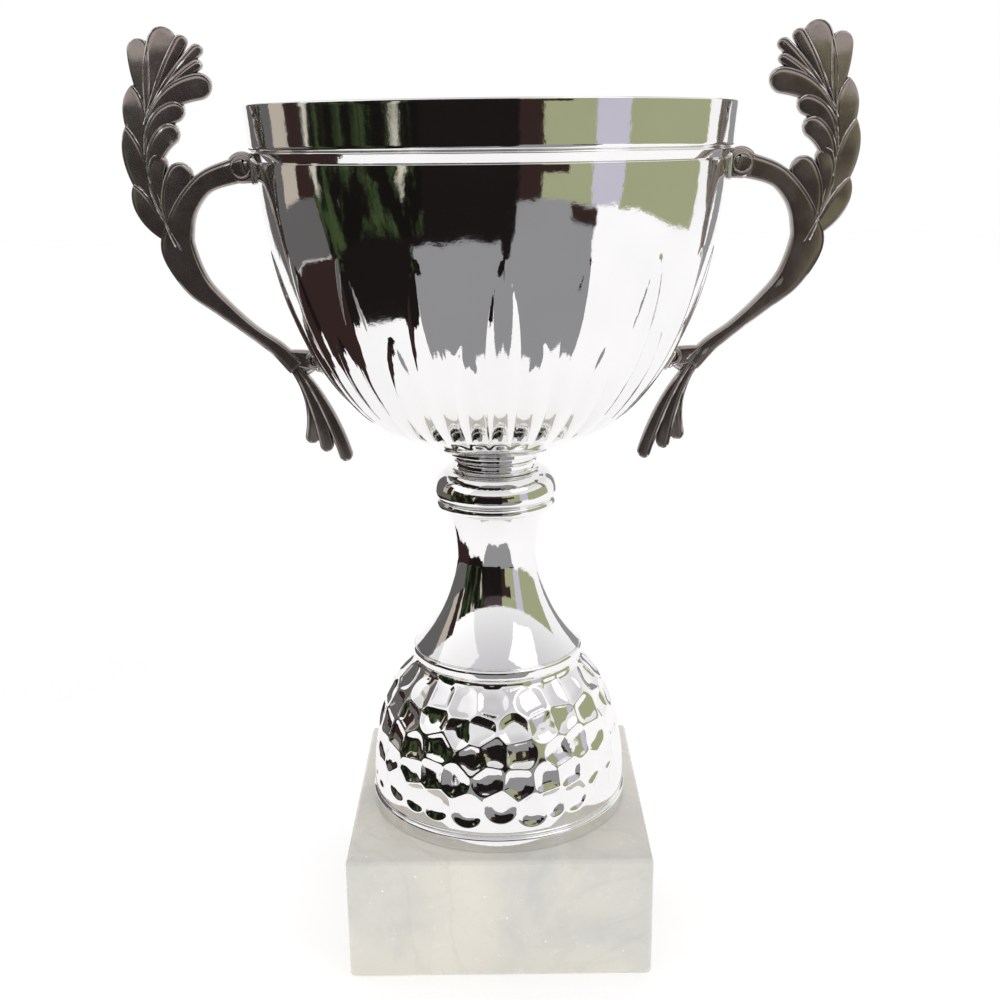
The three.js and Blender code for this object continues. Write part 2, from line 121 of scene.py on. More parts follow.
# A solid from eight corners, listed by nested loops over its two ends in each direction.
def eight_corners(name, corners):
    sides = [(0, 1, 3, 2), (4, 6, 7, 5), (0, 4, 5, 1), (2, 3, 7, 6), (0, 2, 6, 4), (1, 5, 7, 3)]
    return make_object(name, corners, sides)


# Points at a radius, an angle and a height, row by row. Angle 0 faces the front, and
# angles grow towards the right-hand handle.
def around(radius, angle, height):
    spread = np.broadcast_arrays(radius * np.sin(angle), -radius * np.cos(angle), height)
    return np.stack(spread, 2).reshape(-1, 3)


# How far along a run each of its points lies.
def run_lengths(points):
    return np.concatenate([[0], np.cumsum(np.linalg.norm(np.diff(points, axis=0), axis=1))])


# A run of points, resampled at even steps along its length.
def spaced(points, step):
    points = np.array(points, float)
    lengths = run_lengths(points)
    count = max(2, int(round(lengths[-1] / step)) + 1)
    along = np.linspace(0, lengths[-1], count)
    return np.stack([np.interp(along, lengths, points[:, k]) for k in range(points.shape[1])], 1)


# A quadratic curve from start to end, pulled towards control.
def bend(start, control, end, count):
    t = np.linspace(0, 1, count)[:, None]
    start, control, end = (np.array(p, float) for p in (start, control, end))
    return (1 - t) ** 2 * start + 2 * t * (1 - t) * control + t ** 2 * end


# A [radius, height] profile with its corners rounded by small quadratic curves.
def rounded(points, radii, count=6):
    out = []
    last = len(points) - 1
    for k, (point, radius) in enumerate(zip(points, radii)):
        point = np.array(point, float)
        if radius == 0 or k in (0, last):
            out.append(point[None])
            continue
        before, after = np.array(points[k - 1], float), np.array(points[k + 1], float)
        reach = min(radius, np.linalg.norm(before - point) / 2, np.linalg.norm(after - point) / 2)
        start = point + (before - point) / np.linalg.norm(before - point) * reach
        end = point + (after - point) / np.linalg.norm(after - point) * reach
        out.append(bend(start, point, end, count))
    return np.concatenate(out)


# A turned piece about Z from a closed [radius, height] profile. shape takes arrays of
# radius, height and angle, and says how far each point moves along the outward normal.
def turned(name, profile, segments, shape=None):
    profile = np.array(profile, float)
    same_point = 1e-7
    profile = profile[np.linalg.norm(profile - np.roll(profile, 1, axis=0), axis=1) > same_point]
    tangent = np.roll(profile, -1, axis=0) - np.roll(profile, 1, axis=0)
    normal = np.stack([tangent[:, 1], -tangent[:, 0]], 1)
    normal /= np.maximum(np.linalg.norm(normal, axis=1), 1e-9)[:, None]
    angle = np.arange(segments) / segments * tau
    radius = np.repeat(profile[:, :1], segments, 1)
    height = np.repeat(profile[:, 1:], segments, 1)
    if shape is not None:
        push = shape(radius, height, angle[None, :])
        radius = radius + push * normal[:, :1]
        height = height + push * normal[:, 1:]
    return make_object(name, around(radius, angle, height), grid_faces(len(profile), segments, True, True))


# A smooth step from 0 at start to 1 at end.
def ramp(value, start, end):
    t = np.clip((value - start) / (end - start), 0, 1)
    return t * t * (3 - 2 * t)


# Joins another object to this one or cuts it away, and removes the other.
def boolean(obj, other, operation):
    modifier = obj.modifiers.new(operation, "BOOLEAN")
    modifier.object = other
    modifier.operation = operation
    modifier.solver = "MANIFOLD"
    bake_modifiers(obj)
    bpy.data.objects.remove(other)


# Applies an object's modifiers to its mesh.
def bake_modifiers(obj):
    bpy.context.view_layer.update()
    shaped = obj.evaluated_get(bpy.context.evaluated_depsgraph_get())
    mesh = bpy.data.meshes.new_from_object(shaped)
    obj.modifiers.clear()
    old = obj.data
    obj.data = mesh
    mesh.name = obj.name
    bpy.data.meshes.remove(old)


# Shades a piece smooth up to an angle in degrees, gives it its material, hangs it on the root body and hides
# the CAD part that it stands for.
def finish_piece(obj, material, node, angle=35):
    obj.data.shade_smooth()
    obj.data.set_sharp_from_angle(angle=math.radians(angle))
    obj.data.materials.clear()
    obj.data.materials.append(material)
    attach(obj, "root")
    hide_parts(node)


# A chrome piece turned about the axis, standing where its CAD node stands.
def chrome_piece(name, node, profile, segments, shape=None, angle=35):
    piece = turned(name, profile, segments, shape)
    piece.location.z = low(node).z
    finish_piece(piece, chrome, node, angle)
    return piece


# ---------- Material helpers ----------

# A new material, with short calls for the nodes that are used here.
class Nodes:
    def __init__(self, name):
        self.material = bpy.data.materials.new(name)
        self.material.use_nodes = True
        self.tree = self.material.node_tree
        self.shader = self.tree.nodes["Principled BSDF"]

    def add(self, kind, inputs=None, **settings):
        node = self.tree.nodes.new(kind)
        for key, value in settings.items():
            setattr(node, key, value)
        for key, value in (inputs or {}).items():
            self.plug(node.inputs[key], value)
        return node

    # Links a socket to another node's output, or sets its value.
    def plug(self, socket, value):
        if isinstance(value, bpy.types.NodeSocket):
            self.tree.links.new(value, socket)
        else:
            socket.default_value = value

    def place(self):
        return self.add("ShaderNodeTexCoord").outputs["Object"]

    def noise(self, scale, detail=4, roughness=0.5, vector=None, distortion=0.0):
        inputs = {"Scale": scale, "Detail": detail, "Roughness": roughness, "Distortion": distortion}
        inputs["Vector"] = vector or self.place()
        return self.add("ShaderNodeTexNoise", inputs).outputs["Fac"]

    def stretch(self, scale):
        return self.add("ShaderNodeMapping", {"Vector": self.place(), "Scale": scale}).outputs["Vector"]

    def span(self, value, from_low, from_high, to_low, to_high):
        inputs = {"Value": value, "From Min": from_low, "From Max": from_high}
        inputs.update({"To Min": to_low, "To Max": to_high})
        return self.add("ShaderNodeMapRange", inputs).outputs["Result"]

    def math(self, operation, a, b=0.0):
        node = self.add("ShaderNodeMath", operation=operation)
        self.plug(node.inputs[0], a)
        self.plug(node.inputs[1], b)
        return node.outputs[0]

    def mix(self, factor, a, b):
        node = self.add("ShaderNodeMix", data_type="RGBA")
        self.plug(node.inputs["Factor"], factor)
        self.plug(node.inputs["A"], a)
        self.plug(node.inputs["B"], b)
        return node.outputs["Result"]

    def bump(self, height, strength, distance, before=None):
        inputs = {"Height": height, "Strength": strength, "Distance": distance}
        node = self.add("ShaderNodeBump", inputs)
        if before is not None:
            self.plug(node.inputs["Normal"], before)
        return node.outputs["Normal"]

    def set(self, **values):
        for key, value in values.items():
            self.plug(self.shader.inputs[key.replace("_", " ")], value)
        return self.material


# ---------- Materials ----------

# Bright plating: nearly a mirror, with faint orange peel, polishing haze, fine hairline
# scratches and a slightly warm bloom.
def chrome_material():
    n = Nodes("chrome_plating")
    haze = n.noise(38, 5, 0.55)
    smudge = n.noise(90, 6, 0.65, distortion=0.6)
    hairlines = n.noise(1, 3, 0.5, n.stretch((900, 900, 6000)))
    tint = n.span(haze, 0.35, 0.7, 0, 1)
    color = n.mix(tint, (0.905, 0.895, 0.885, 1), (0.865, 0.86, 0.855, 1))
    dull = n.math("MULTIPLY", n.span(smudge, 0.5, 0.75, 0, 1), 0.035)
    roughness = n.math("ADD", n.span(haze, 0.3, 0.75, 0.025, 0.06), dull)
    peel = n.bump(n.noise(420, 3, 0.5), 0.05, 0.0004)
    scratched = n.bump(hairlines, 0.012, 0.0002, peel)
    return n.set(Base_Color=color, Metallic=1.0, Roughness=roughness, Normal=scratched)


# The inside of the bowl is spun and less polished: faint rings and a little more haze.
def spun_chrome_material():
    n = Nodes("chrome_plating_inside")
    haze = n.noise(30, 5, 0.6)
    rings = n.noise(1, 4, 0.6, n.stretch((8, 8, 1800)))
    color = n.mix(haze, (0.86, 0.85, 0.835, 1), (0.80, 0.795, 0.785, 1))
    roughness = n.span(haze, 0.3, 0.75, 0.1, 0.2)
    return n.set(Base_Color=color, Metallic=1.0, Roughness=roughness, Normal=n.bump(rings, 0.05, 0.0003))


# Dark nickel over a casting: brown-black, polished brighter on its raised lines, with painted shade that
# darkens its creases towards black.
def casting_material():
    n = Nodes("handle_casting")
    cloud = n.noise(140, 5, 0.6)
    grain = n.noise(1500, 4, 0.55)
    pits = n.add("ShaderNodeTexVoronoi", {"Vector": n.place(), "Scale": 520.0}).outputs["Distance"]
    worn = n.add("ShaderNodeNewGeometry").outputs["Pointiness"]
    edge = n.span(worn, 0.515, 0.58, 0, 1)
    # Painted shade: ambient occlusion darkens the colour towards near-black, and raises the roughness, in the
    # creases and between the leaves.
    crease_occlusion_shade = n.add("ShaderNodeAmbientOcclusion", {"Distance": 0.0009}, samples=6, only_local=True)
    crease = n.span(crease_occlusion_shade.outputs["AO"], 0.8, 0.35, 0, 1)
    base = n.mix(n.span(cloud, 0.35, 0.7, 0, 1), (0.28, 0.232, 0.212, 1), (0.36, 0.315, 0.293, 1))
    polished = n.mix(edge, base, (0.92, 0.90, 0.87, 1))
    color = n.mix(crease, polished, (0.035, 0.03, 0.028, 1))
    roughness = n.math("ADD", n.span(cloud, 0.3, 0.7, 0.12, 0.2), n.math("MULTIPLY", crease, 0.2))
    coarse = n.bump(cloud, 0.06, 0.0006)
    fine = n.bump(grain, 0.03, 0.00006, coarse)
    pitted = n.bump(n.span(pits, 0.0, 0.12, 0, 1), 0.04, 0.00006, fine)
    return n.set(Base_Color=color, Metallic=0.9, Roughness=roughness, Normal=pitted)


# Zinc-bright steel of the hidden fasteners, with turning marks and a dull bloom.
def steel_material():
    n = Nodes("steel_fastener")
    bloom = n.noise(600, 5, 0.6)
    marks = n.noise(1, 3, 0.5, n.stretch((400, 400, 9000)))
    color = n.mix(n.span(bloom, 0.35, 0.7, 0, 1), (0.56, 0.57, 0.58, 1), (0.70, 0.70, 0.69, 1))
    roughness = n.span(bloom, 0.3, 0.7, 0.22, 0.4)
    return n.set(Base_Color=color, Metallic=1.0, Roughness=roughness, Normal=n.bump(marks, 0.2, 0.00006))


# Polished marble: warm off-white with soft grey clouds, a few faint veins, tiny white
# crystals and a thin clear polish.
def marble_material():
    n = Nodes("marble")
    cloud = n.noise(19, 5, 0.5, distortion=0.3)
    patch = n.noise(30, 6, 0.55, distortion=0.5)
    mottle = n.noise(160, 6, 0.65)
    grain = n.noise(900, 4, 0.6)
    vein_line = n.math("ABSOLUTE", n.math("SUBTRACT", n.noise(13, 7, 0.6, distortion=1.6), 0.5))
    vein = n.span(vein_line, 0.0, 0.03, 0.16, 0)
    crystal = n.add("ShaderNodeTexVoronoi", {"Vector": n.place(), "Scale": 260.0, "Randomness": 1.0})
    speck = n.span(crystal.outputs["Distance"], 0.07, 0.12, 1, 0)
    rare = n.span(crystal.outputs["Color"], 0.0, 1.0, 0, 1)
    speck = n.math("MULTIPLY", speck, n.math("GREATER_THAN", rare, 0.8))
    warm = (0.82, 0.785, 0.69, 1)
    grey = (0.68, 0.665, 0.60, 1)
    blue = (0.55, 0.575, 0.555, 1)
    base = n.mix(n.span(cloud, 0.36, 0.66, 0, 1), warm, grey)
    base = n.mix(n.span(patch, 0.5, 0.74, 0, 0.8), base, blue)
    base = n.mix(n.span(mottle, 0.35, 0.75, 0, 0.35), base, (0.80, 0.78, 0.72, 1))
    base = n.mix(n.span(grain, 0.55, 0.8, 0, 0.2), base, (0.52, 0.51, 0.47, 1))
    base = n.mix(vein, base, (0.5, 0.485, 0.45, 1))
    color = n.mix(speck, base, (0.95, 0.94, 0.90, 1))
    roughness = n.span(mottle, 0.3, 0.7, 0.16, 0.3)
    pore = n.bump(mottle, 0.04, 0.0005)
    fine = n.bump(grain, 0.05, 0.0001, pore)
    n.set(Subsurface_Weight=0.12, Subsurface_Scale=0.004, Coat_Weight=0.25, Coat_Roughness=0.08)
    n.shader.inputs["Subsurface Radius"].default_value = (1.0, 0.9, 0.75)
    return n.set(Base_Color=color, Roughness=roughness, IOR=1.5, Normal=fine)


chrome = chrome_material()
chrome_inside = spun_chrome_material()
casting = casting_material()
steel = steel_material()
marble = marble_material()


# ---------- Marble block ----------

def build_marble():
    corner = high("marble_base")
    width, height = corner.x, corner.z
    corners = ((-1, -1), (1, -1), (1, 1), (-1, 1))
    points = [(sx * width, sy * width, z) for z in (0, height) for sx, sy in corners]
    sides = [(0, 1, 5, 4), (1, 2, 6, 5), (2, 3, 7, 6), (3, 0, 4, 7)]
    block = make_object("marble_block", points, [(3, 2, 1, 0), (4, 5, 6, 7), *sides])
    arris = block.modifiers.new("arris", "BEVEL")
    arris.width = 1.3 * mm
    arris.segments = 5
    bake_modifiers(block)
    bore, depth, past, axis = 12 * mm, 10 * mm, 1 * mm, 0.01 * mm
    cutter = turned("cutter", [(bore, -past), (bore, depth), (rod_hole, depth), (rod_hole, height + past),
                               (axis, height + past), (axis, -past)], 96)
    boolean(block, cutter, "DIFFERENCE")
    finish_piece(block, marble, "marble_base", angle=25)


# ---------- Domed foot ----------

# Centres of the honeycomb's cells on the dome, row by row, with a little disorder.
def cell_centres(radius_at, height_at, arc_low, arc_high):
    order = np.random.default_rng(7)
    pitch, row_rise = 9.0 * mm, 7.9 * mm
    sideways, upwards = 0.28, 0.17
    rows = int(round((arc_high - arc_low) / row_rise))
    centres = []
    for row in range(rows + 1):
        arc = arc_low + (arc_high - arc_low) * row / rows
        count = int(round(tau * radius_at(arc) / pitch))
        for k in range(count):
            angle = tau * (k + 0.5 * (row % 2) + sideways * order.uniform(-1, 1)) / count
            here = arc + upwards * row_rise * order.uniform(-1, 1)
            radius, height = radius_at(here), height_at(here)
            centres.append((radius * math.sin(angle), -radius * math.cos(angle), height))
    return np.array(centres)


# For each point, the index of its own cell's centre and of the six next nearest, worked
# out in batches to save memory.
def nearest_cells(points, centres):
    count = 7
    out = np.zeros((len(points), count), int)
    step = 20000
    for start in range(0, len(points), step):
        block = points[start:start + step]
        distance = ((block[:, None, :] - centres[None]) ** 2).sum(2)
        out[start:start + step] = np.argsort(distance, axis=1)[:, :count]
    return out[:, 0], out[:, 1:]


def build_foot():
    top_radius = 26.5 * mm
    shoulder = foot_radius - 0.5 * mm
    lip = 5 * mm
    brow = foot_height - 2 * mm
    wall = 2.2 * mm
    control = (foot_radius - 0.2 * mm, foot_height - 13 * mm)
    dome_from = (shoulder, lip + 1.1 * mm)
    dome = spaced(bend(dome_from, control, (top_radius, brow), 200), 0.42 * mm)
    arcs = run_lengths(dome)
    radius_at = lambda arc: np.interp(arc, arcs, dome[:, 0])
    height_at = lambda arc: np.interp(arc, arcs, dome[:, 1])
    centres = cell_centres(radius_at, height_at, 7.8 * mm, arcs[-1] - 5.0 * mm)
    # An upright lip with a double groove above it.
    edge = rounded([(shoulder - wall, 0), (foot_radius - 0.1 * mm, 0), (foot_radius, 0.4 * mm),
                    (foot_radius, lip - 0.9 * mm), (foot_radius - 0.9 * mm, lip - 0.35 * mm),
                    (foot_radius - 0.45 * mm, lip + 0.15 * mm), (foot_radius - 0.95 * mm, lip + 0.6 * mm),
                    dome_from],
                   [0, 0.1 * mm, 0.3 * mm, 0.6 * mm, 0.3 * mm, 0.4 * mm, 0.3 * mm, 0])
    crown = rounded([(top_radius, brow), (top_radius - 0.4 * mm, foot_height - 0.8 * mm),
                     (top_radius - 0.8 * mm, foot_height), (rod_hole, foot_height),
                     (rod_hole, foot_height - wall), (top_radius - wall, foot_height - 2 * wall)],
                    [0, 0.5 * mm, 0.4 * mm, 0.2 * mm, 0.2 * mm, 1.5 * mm])
    inside = bend((top_radius - wall, brow - wall), (control[0] - wall, control[1] - wall),
                  (shoulder - wall, lip), 24)
    profile = np.concatenate([edge, dome, crown, inside])
    first, last = len(edge), len(edge) + len(dome)

    soft, ridge = 0.55 * mm, 0.22 * mm
    cell_reach, dish_reach, dish_depth = 5.2 * mm, 3.3 * mm, 0.9 * mm

    def dishes(radius, height, angle):
        push = np.zeros(radius.shape)
        points = around(radius[first:last], angle, height[first:last])
        near, others = nearest_cells(points, centres)
        to_near = np.linalg.norm(points - centres[near], axis=1)
        total = np.exp(-(cell_reach - to_near) / soft)
        for k in range(others.shape[1]):
            other = centres[others[:, k]]
            gap = np.linalg.norm(other - centres[near], axis=1)
            border = (((points - other) ** 2).sum(1) - to_near ** 2) / (2 * gap)
            total += np.exp(-border / soft)
        # Distance to the cell's border, softened so that the dish has no creases inside.
        reach = -soft * np.log(total) + soft * math.log(2)
        reach = np.sqrt(np.clip(reach, 0, None) ** 2 + ridge ** 2) - ridge
        share = np.clip(reach / dish_reach, 0, 1)
        push[first:last] = -(dish_depth * (1 - (1 - share) ** 2)).reshape(last - first, -1)
        return push

    chrome_piece("foot_shell", "foot_dome", profile, 560, dishes, 60)


# ---------- Bell, knob, neck ring and collar ----------

def build_bell():
    waist, top, wall, lip, waist_z = 12.6 * mm, 15.8 * mm, 2.2 * mm, 4 * mm, 32 * mm
    flare_from = (bell_lip - 0.9 * mm, lip + 0.05 * mm)
    flare_control = (waist + 2.4 * mm, lip + 10.8 * mm)
    flare = bend(flare_from, flare_control, (waist, waist_z), 60)
    cap = bend((waist, waist_z), (waist, bell_height - 6 * mm), (top, bell_height), 30)
    edge = rounded([(bell_lip - 3.4 * mm, 0), (bell_lip - 0.5 * mm, 0), (bell_lip, 0.9 * mm),
                    (bell_lip, 2.9 * mm), (bell_lip - 0.5 * mm, 3.7 * mm), (bell_lip - 1.1 * mm, 3.5 * mm),
                    flare_from],
                   [0, 0.5 * mm, 1.2 * mm, 1.0 * mm, 0.4 * mm, 0.15 * mm, 0], 9)
    inside = bend((waist - wall, waist_z), (flare_control[0] - wall, flare_control[1] - wall),
                  (bell_lip - 3.4 * mm, lip - 1 * mm), 24)
    bore = [(rod_hole, bell_height), (rod_hole, bell_height - wall), (waist - wall, bell_height - wall)]
    chrome_piece("bell", "bell_stem", np.concatenate([edge, flare, cap, bore, inside]), 288)


def build_knob():
    crease = 18.5 * mm
    bead_end = (crease - 0.2 * mm, 3.3 * mm)
    bulge_foot = (crease - 0.25 * mm, 4.2 * mm)
    widest = (19.0 * mm, 6.3 * mm)
    brow = (16.6 * mm, knob_height - 0.95 * mm)
    bead = bend((15.8 * mm, 0), (crease + 1.0 * mm, 0.6 * mm), bead_end, 24)
    valley = bend(bead_end, (crease - 0.9 * mm, 3.7 * mm), bulge_foot, 10)
    bulge = [bend(bulge_foot, (19.2 * mm, 4.7 * mm), widest, 20),
             bend(widest, (18.7 * mm, knob_height - 2.8 * mm), brow, 24)[1:],
             bend(brow, (15.5 * mm, knob_height), (13.7 * mm, knob_height), 16)[1:]]
    bore = [(rod_hole, knob_height), (rod_hole, 0)]
    chrome_piece("knob", "stem_knob", np.concatenate([bead, valley, *bulge, bore]), 288)


def build_neck():
    flange_top = (flange - 0.9 * mm, 1.25 * mm)
    top_radius = 13.0 * mm
    brow = (top_radius, neck_height - 0.5 * mm)
    foot = rounded([(rod_hole, 0), (flange - 0.5 * mm, 0), (flange, 0.5 * mm), (flange - 0.1 * mm, 1.0 * mm),
                    flange_top], [0, 0.4 * mm, 0.5 * mm, 0.3 * mm, 0])
    waist = rounded([flange_top, (12.2 * mm, 1.35 * mm), (12.25 * mm, neck_height - 0.75 * mm), brow],
                    [0, 0.5 * mm, 0.6 * mm, 0], 8)
    top = rounded([brow, (top_radius, neck_height), (rod_hole, neck_height)], [0, 0.4 * mm, 0])
    chrome_piece("neck", "neck_ring", np.concatenate([foot, waist, top]), 256)


def build_collar():
    corners = [(rod_hole, 0), (collar_radius, 0), (collar_radius, collar_height), (rod_hole, collar_height)]
    edge = rounded(corners, [0, 0.35 * mm, 0.2 * mm, 0], 8)[1:-1]
    bore = [(rod_hole, collar_height), (rod_hole, 0)]
    chrome_piece("collar", "bowl_collar", np.concatenate([edge, bore]), 256)


# ---------- Bowl ----------

rib_count = 18
columns_per_rib = 40
rib_start = math.radians(2.6)
long_rib_top = 63.5 * mm
short_rib_top = 42.5 * mm
rib_foot = 8.4 * mm

# Where the hub's edge lies on the full curve, from 0 at its pole to 1 at its top.
hub_share = 1 - (1 - (bowl_hub / bowl_radius) ** bowl_squareness) ** (1 / bowl_fullness)


# Outer radius of the plain bowl at a height above its seat.
def bowl_outer(height):
    rise = (height - bowl_hub_height) / (bowl_body - bowl_hub_height)
    share = hub_share + (1 - hub_share) * np.clip(rise, 0, 1)
    return bowl_radius * (1 - (1 - share) ** bowl_fullness) ** (1 / bowl_squareness)


# The body's profile, moved square to the wall, from the hub up to the bead.
def bowl_curve(offset, step):
    height = bowl_hub_height + (bowl_body - bowl_hub_height) * np.linspace(0, 1, 600) ** 2
    radius = bowl_outer(height)
    slope = np.gradient(radius, height)
    shift = offset / np.hypot(1, slope)
    return spaced(np.stack([radius + shift, height - shift * slope], 1), step)


# How far the pressed ribs stand out of the wall: long ones that start as a rounded point
# high up, short ones half-way between them, and all of them full lobes near the hub. The
# panels between the long ribs are pulled a little flat.
def ribs(radius, height, angle):
    rise = np.zeros(np.broadcast(radius, angle).shape)
    pitch = tau * radius / (2 * rib_count)
    for turn, top, tall in ((0.0, long_rib_top, 1.0 * mm), (0.5, short_rib_top, 0.85 * mm)):
        phase = (angle - rib_start) / tau * rib_count - turn
        across = (phase - np.round(phase)) * tau / rib_count * radius
        down = np.clip((top - height) / (24 * mm), 0, 1)
        half = np.minimum(4.4 * mm * (1 - (1 - down) ** 2) ** 0.62, 0.5 * pitch)
        foot = ramp(height, rib_foot - 1.2 * mm, rib_foot + 3.4 * mm)
        share = np.clip(np.abs(across) / np.maximum(half, 1e-6), 0, 1)
        crest = np.minimum(tall * (0.25 + 0.75 * ramp(down, 0, 0.4)), 0.24 * half)
        rise = np.maximum(rise, crest * foot * (1 - share ** 1.9) * (down > 0))
    belly = 0.5 - 0.5 * np.cos((angle - rib_start) / tau * rib_count * tau)
    pulled = ramp(height, 34 * mm, 46 * mm) * ramp(84 * mm - height, 0, 26 * mm)
    # The wall stays plain under the handles' lower pads.
    beside, above = np.cos(angle) * radius / (6.4 * mm), (height - lower_screw_height) / (6 * mm)
    under_pad = np.exp(-beside ** 6 - above ** 6)
    sunk = 0.15 * mm * ramp(long_rib_top - height, 0, 8 * mm)
    return (rise - sunk) * (1 - under_pad) - 0.34 * mm * belly * pulled


def build_bowl():
    outer = bowl_curve(0, 0.75 * mm)
    hub = rounded([(rod_hole, 0), (bowl_hub, 0), (bowl_hub, bowl_hub_height)], [0, 0.5 * mm, 0])
    band_foot = (rim_foot, bead_top + 0.5 * mm)
    roll_from = (rim_outer - 0.02 * mm, bowl_top - 0.9 * mm)
    roll_to = (rim_outer - 1.5 * mm, bowl_top - 0.9 * mm)
    bead = rounded([(bowl_radius, bowl_body), (bowl_radius - 0.45 * mm, bowl_body + 0.3 * mm),
                    (bowl_radius - 0.2 * mm, bowl_body + 0.6 * mm),
                    (bead_radius + 0.5 * mm, bead_top - 0.75 * mm),
                    (bead_radius - 0.15 * mm, bead_top - 0.25 * mm), (rim_foot - 0.25 * mm, bead_top),
                    band_foot],
                   [0, 0.25 * mm, 0.35 * mm, 0.8 * mm, 0.25 * mm, 0.3 * mm, 0], 8)
    band = bend(band_foot, (rim_foot + 0.35 * mm, bead_top + 6 * mm), roll_from, 20)
    roll = rounded([roll_from, (rim_outer, bowl_top), (rim_outer - 1.4 * mm, bowl_top), roll_to],
                   [0, 0.5 * mm, 0.7 * mm, 0], 8)
    rim_inside = rounded([roll_to, (rim_foot - bowl_wall, bead_top),
                          (bead_radius - bowl_wall, bead_top - 0.6 * mm),
                          (bead_radius - bowl_wall, bowl_body + 1.2 * mm),
                          (bowl_radius - bowl_wall, bowl_body)],
                         [0, 0.6 * mm, 0.6 * mm, 0.8 * mm, 0], 8)
    inner = bowl_curve(-bowl_wall, 1.6 * mm)[::-1]
    floor = rounded([inner[-1], (bowl_hub - 1.2 * mm, bowl_floor), (rod_hole, bowl_floor)], [0, 0.5 * mm, 0])
    profile = np.concatenate([hub, outer, bead, band, roll, rim_inside, inner, floor])
    first_outer = len(hub)
    last_outer = first_outer + len(outer)
    first_inner = len(profile) - len(floor) - len(inner)
    last_inner = len(profile) - len(floor)

    # The inside of the wall follows the outside, as in pressed sheet.
    def press(radius, height, angle):
        push = np.zeros(radius.shape)
        for first, last, sign in ((first_outer, last_outer, 1), (first_inner, last_inner, -1)):
            push[first:last] = sign * ribs(radius[first:last], height[first:last], angle)
        return push

    columns = rib_count * columns_per_rib
    bowl = chrome_piece("bowl_shell", "bowl", profile, columns, press, 50)
    bowl.data.materials.append(chrome_inside)
    slots = np.zeros(len(bowl.data.polygons), np.int32)
    slots[(last_outer + len(bead) + len(band) + len(roll)) * columns:] = 1
    bowl.data.polygons.foreach_set("material_index", slots)


# ---------- Handles ----------

# The casting's own frame, in millimetres: the origin is the upper screw's place, X runs
# away from the bowl and Z up. Each leaf has its spine as a base, a control and a tip, half
# its width, half its thickness, the side of its raised line (1 left, -1 right, seen from
# base to tip, 0 none) and whether its outline is a pointed oval, not a round-ended blade.
# Thicker leaves lie over thinner ones.
leaves = [
    ((30.6, 16.5), (28.5, 28), (23.7, 39.4), 4.1, 1.62, -1, False),
    ((30.5, 16), (32.2, 27), (31.8, 36.6), 3.4, 1.70, 1, False),
    ((30.8, 16), (25.6, 27), (19.0, 37.1), 2.0, 1.76, -1, False),
    ((30.8, 15.5), (25, 25), (14.4, 34.4), 1.8, 1.84, -1, False),
    ((30.8, 15), (25, 24.5), (14.6, 30), 1.6, 1.92, -1, False),
    ((31.4, 13), (25, 23.5), (12.1, 23.8), 3.8, 2.0, -1, False),
    ((32.2, 3.0), (34.9, 12.5), (34.4, 24.2), 3.6, 1.90, 1, True),
    ((27.0, -15.5), (35.2, -3), (37.1, 13.2), 3.6, 2.05, 1, True),
    ((24.0, -21.5), (33.8, -13), (36.2, -3.0), 3.3, 2.2, 1, True),
    ((27, -21), (34.5, -3), (31.5, 18), 2.2, 1.5, 0, False),
    ((32, 5), (29.5, 16.8), (20.3, 17.2), 3.1, 2.1, -1, False),
    ((31, -3), (30.6, 9), (22.5, 12.0), 3.2, 2.2, -1, False),
    ((26.8, -16), (32.2, -3), (27.9, 4.8), 2.6, 2.3, -1, False),
    ((25.0, -21), (28.4, -7), (20.8, 2.0), 3.9, 2.4, -1, False),
    ((-7, -56), (-16.7, -68), (-21.8, -86.5), 2.1, 2.0, 1, False),
    ((-6, -57), (-13.6, -67.5), (-15.8, -83.5), 2.1, 1.85, 1, False),
    ((-5.6, -57), (-14.6, -68), (-10.7, -80.8), 2.2, 1.7, 1, False),
]
arm = ((-2, -52.5), (-7, -55), (-14, -55.4), 2.8, 2.0, 0, False)
# Places along the stem, each with half its width.
stem_stations = [((4, 0.9), 3.8), ((13.2, -1.7), 3.4), ((17.8, -4.6), 3.2), ((22, -10), 3.5),
                 ((24.3, -16), 4.2), ((25, -22.5), 5.0), ((20.4, -32.2), 3.9), ((13.4, -39.1), 2.6),
                 ((5, -46.3), 1.9), ((-2, -51.6), 2.2), ((-7.6, -57.4), 2.6)]
upper_ear = (4.9, 1.0)
lower_ear = (-13.5, -55.0)
lower_screw = (-15.6, -55.4)


# Where a screw crosses the wall, and how far the wall leans there.
def wall_place(height):
    probe = 0.05 * mm
    slope = (bowl_outer(height + probe) - bowl_outer(height - probe)) / (2 * probe)
    return np.array([bowl_outer(height), bowl_z + height]), -math.atan(slope)


# Turns and scales the casting so that its two screws meet the wall where they should.
def casting_map():
    upper, _ = wall_place(upper_screw_height)
    lower, _ = wall_place(lower_screw_height)
    span = (lower - upper) / mm
    turn = math.atan2(span[1], span[0]) - math.atan2(lower_screw[1], lower_screw[0])
    scale = np.hypot(*span) / np.hypot(*lower_screw)
    c, s = math.cos(turn) * scale * mm, math.sin(turn) * scale * mm
    return lambda p: upper + np.array([c * p[..., 0] - s * p[..., 1], s * p[..., 0] + c * p[..., 1]]).T


